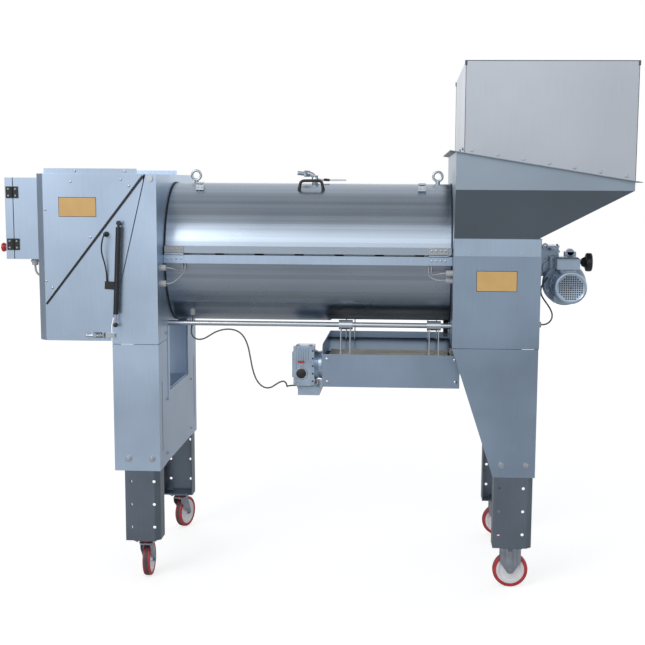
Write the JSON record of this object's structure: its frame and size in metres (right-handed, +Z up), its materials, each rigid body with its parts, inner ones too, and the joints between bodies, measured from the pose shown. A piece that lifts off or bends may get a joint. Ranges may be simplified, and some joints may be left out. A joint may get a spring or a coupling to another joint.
{
  "type": "grape crusher destemmer",
  "caption": "Drum grape destemmer with feed hopper, perforated cage, sliding crusher unit below, tilting stalk hood and telescopic wheeled legs.",
  "frame": {"origin": "on the floor, under the middle of the overall box", "axes": "+X along the drum from the stalk hood to the hopper, -Y the operator's side with the casing door, +Z up"},
  "size_m": [2.688, 1.152, 2.19],
  "materials": {
    "stainless": "satin brushed stainless sheet",
    "black_plastic": "moulded black plastic",
    "red_plastic": "glossy red",
    "grey_plastic": "light grey moulded plastic",
    "cable_grey": "grey cable sheath",
    "cable_black": "black cable sheath",
    "grey_paint": "blue-grey machine paint",
    "dark_steel": "dark oiled steel",
    "roller_rubber": "food-grade pale rubber",
    "black_paint": "black gas strut cylinder",
    "zinc": "zinc-plated pressed steel",
    "caster_polyurethane": "red polyurethane tyre on a pale hub"
  },
  "bodies": {
    "frame": {"portal_frame": "stainless", "legs_outer_left": "stainless", "legs_outer_right": "stainless", "cross_panel": "stainless", "feed_housing": "stainless", "hopper_funnel": "stainless", "hopper_extension": "stainless", "casing_lower": "stainless", "casing_rear": "stainless", "door_rail": "stainless", "guide_bars": "stainless", "wash_inlet": "stainless", "frame_fasteners": "stainless", "eyebolts": "stainless", "chain_guard": "stainless", "drive_gearbox": "grey_paint", "drive_motor": "grey_paint", "drive_chain": "dark_steel", "shaft_bearings": "dark_steel", "cable_glands": "grey_plastic", "frame_cables": "cable_grey"},
    "hood": {"hood_shell": "stainless", "hood_covers": "stainless", "control_box": "stainless", "hood_fittings": "black_plastic", "hood_cables": "cable_black"},
    "hood_latch_front": {"hood_latch_front": "stainless"},
    "hood_latch_rear": {"hood_latch_rear": "stainless"},
    "control_door": {"control_box_door": "stainless"},
    "stop_button": {"emergency_stop": "red_plastic"},
    "strut_rods": {"strut_rods": "stainless"},
    "strut_cylinders": {"strut_cylinders": "black_paint"},
    "casing_door": {"door_front": "stainless", "door_fittings": "black_plastic"},
    "door_latch_left": {"door_latch_left": "stainless"},
    "door_latch_right": {"door_latch_right": "stainless"},
    "wash_lever": {"wash_lever": "stainless"},
    "speed_handwheel": {"speed_handwheel": "black_plastic"},
    "cage": {"cage_drum": "stainless"},
    "beater": {"beater_shaft": "stainless", "beater_paddles": "stainless", "feed_auger": "stainless"},
    "layshaft": {"layshaft": "dark_steel"},
    "crusher": {"crusher_trough": "stainless", "crusher_hangers": "stainless", "crusher_gearmotor": "grey_paint", "roller_bearings": "dark_steel", "crusher_cable": "cable_grey"},
    "roller_front": {"roller_front": "roller_rubber"},
    "roller_rear": {"roller_rear": "roller_rubber"},
    "leg_front_left": {"leg_inner_front_left": "stainless"},
    "leg_front_right": {"leg_inner_front_right": "stainless"},
    "caster_front_left": {"caster_fork_front_left": "zinc"},
    "wheel_front_left": {"caster_wheel_front_left": "caster_polyurethane"},
    "wheel_front_right": {"caster_wheel_front_right": "caster_polyurethane"},
    "leg_rear_left": {"leg_inner_rear_left": "stainless"},
    "leg_rear_right": {"leg_inner_rear_right": "stainless"},
    "caster_rear_left": {"caster_fork_rear_left": "zinc"},
    "wheel_rear_left": {"caster_wheel_rear_left": "caster_polyurethane"},
    "wheel_rear_right": {"caster_wheel_rear_right": "caster_polyurethane"}
  },
  "joints": [
    {"name": "hood_hinge", "type": "hinge", "parent": "frame", "child": "hood", "pos_m": [-0.644, 0, 1.721], "axis": [0, 1, 0], "range_deg": [0, 50]},
    {"name": "hood_latch_front_hinge", "type": "hinge", "parent": "hood", "child": "hood_latch_front", "pos_m": [-0.848, -0.462, 1.069], "axis": [0, 0, 1], "range_deg": [0, 120]},
    {"name": "hood_latch_rear_hinge", "type": "hinge", "parent": "hood", "child": "hood_latch_rear", "pos_m": [-0.848, 0.462, 1.069], "axis": [0, 0, -1], "range_deg": [0, 120]},
    {"name": "control_door_hinge", "type": "hinge", "parent": "hood", "child": "control_door", "pos_m": [-1.2595, -0.336, 1.5], "axis": [0, 0, 1], "range_deg": [0, 120]},
    {"name": "stop_button_press", "type": "slide", "parent": "control_door", "child": "stop_button", "axis": [1, 0, 0], "range_m": [0, 0.005]},
    {"name": "strut_rod_hinge", "type": "hinge", "parent": "frame", "child": "strut_rods", "pos_m": [-0.791, 0, 1.116], "axis": [0, 1, 0], "range_deg": [-10.2, 0]},
    {"name": "strut_extension", "type": "slide", "parent": "strut_rods", "child": "strut_cylinders", "axis": [0.0497, 0, 0.9988], "range_m": [0, 0.167]},
    {"name": "casing_door_hinge", "type": "hinge", "parent": "frame", "child": "casing_door", "pos_m": [0, -0.323, 1.404], "axis": [1, 0, 0], "range_deg": [0, 120]},
    {"name": "door_latch_left_hinge", "type": "hinge", "parent": "casing_door", "child": "door_latch_left", "pos_m": [-0.489, -0.134, 1.703], "axis": [1, 0, 0], "range_deg": [0, 90]},
    {"name": "door_latch_right_hinge", "type": "hinge", "parent": "casing_door", "child": "door_latch_right", "pos_m": [0.479, -0.134, 1.703], "axis": [1, 0, 0], "range_deg": [0, 90]},
    {"name": "wash_lever_hinge", "type": "hinge", "parent": "frame", "child": "wash_lever", "pos_m": [0.006, 0, 1.722], "axis": [0, -1, 0], "range_deg": [0, 90]},
    {"name": "speed_handwheel_spin", "type": "hinge", "parent": "frame", "child": "speed_handwheel", "pos_m": [1.19, -0.13, 1.374], "axis": [1, 0, 0], "continuous": true},
    {"name": "cage_spin", "type": "hinge", "parent": "frame", "child": "cage", "pos_m": [0, 0, 1.4], "axis": [1, 0, 0], "continuous": true},
    {"name": "beater_spin", "type": "hinge", "parent": "frame", "child": "beater", "pos_m": [0, 0, 1.4], "axis": [1, 0, 0], "continuous": true},
    {"name": "layshaft_spin", "type": "hinge", "parent": "frame", "child": "layshaft", "pos_m": [0.8, 0, 1.073], "axis": [1, 0, 0], "continuous": true},
    {"name": "crusher_slide", "type": "slide", "parent": "frame", "child": "crusher", "axis": [-1, 0, 0], "range_m": [0, 0.38], "deforming": ["crusher_cable"]},
    {"name": "roller_front_spin", "type": "hinge", "parent": "crusher", "child": "roller_front", "pos_m": [0.35, -0.06, 0.9], "axis": [1, 0, 0], "continuous": true},
    {"name": "roller_rear_spin", "type": "hinge", "parent": "crusher", "child": "roller_rear", "pos_m": [0.35, 0.06, 0.9], "axis": [1, 0, 0], "continuous": true},
    {"name": "leg_front_left_height", "type": "slide", "parent": "frame", "child": "leg_front_left", "axis": [0, 0, 1], "range_m": [0, 0.3]},
    {"name": "leg_front_right_height", "type": "slide", "parent": "frame", "child": "leg_front_right", "axis": [0, 0, 1], "range_m": [0, 0.3]},
    {"name": "caster_front_left_swivel", "type": "hinge", "parent": "leg_front_left", "child": "caster_front_left", "pos_m": [-0.693, -0.395, 0.17], "axis": [0, 0, 1], "continuous": true},
    {"name": "wheel_front_left_spin", "type": "hinge", "parent": "caster_front_left", "child": "wheel_front_left", "pos_m": [-0.693, -0.35, 0.075], "axis": [-1, 0, 0], "continuous": true},
    {"name": "wheel_front_right_spin", "type": "hinge", "parent": "leg_front_right", "child": "wheel_front_right", "pos_m": [0.876, -0.395, 0.075], "axis": [0, 1, 0], "continuous": true},
    {"name": "leg_rear_left_height", "type": "slide", "parent": "frame", "child": "leg_rear_left", "axis": [0, 0, 1], "range_m": [0, 0.3]},
    {"name": "leg_rear_right_height", "type": "slide", "parent": "frame", "child": "leg_rear_right", "axis": [0, 0, 1], "range_m": [0, 0.3]},
    {"name": "caster_rear_left_swivel", "type": "hinge", "parent": "leg_rear_left", "child": "caster_rear_left", "pos_m": [-0.693, 0.395, 0.17], "axis": [0, 0, 1], "continuous": true},
    {"name": "wheel_rear_left_spin", "type": "hinge", "parent": "caster_rear_left", "child": "wheel_rear_left", "pos_m": [-0.67761, 0.43729, 0.075], "axis": [-0.9397, 0.342, 0], "continuous": true},
    {"name": "wheel_rear_right_spin", "type": "hinge", "parent": "leg_rear_right", "child": "wheel_rear_right", "pos_m": [0.876, 0.395, 0.075], "axis": [0, 1, 0], "continuous": true}
  ],
  "couplings": [
    {"joint": "strut_rod_hinge", "follows": "hood_hinge", "ratio": -0.202},
    {"joint": "strut_extension", "follows": "hood_hinge", "m_per_rad": 0.19},
    {"joint": "layshaft_spin", "follows": "cage_spin", "ratio": -6.7857},
    {"joint": "beater_spin", "follows": "cage_spin", "ratio": -13.571},
    {"joint": "roller_rear_spin", "follows": "roller_front_spin", "ratio": -1}
  ]
}
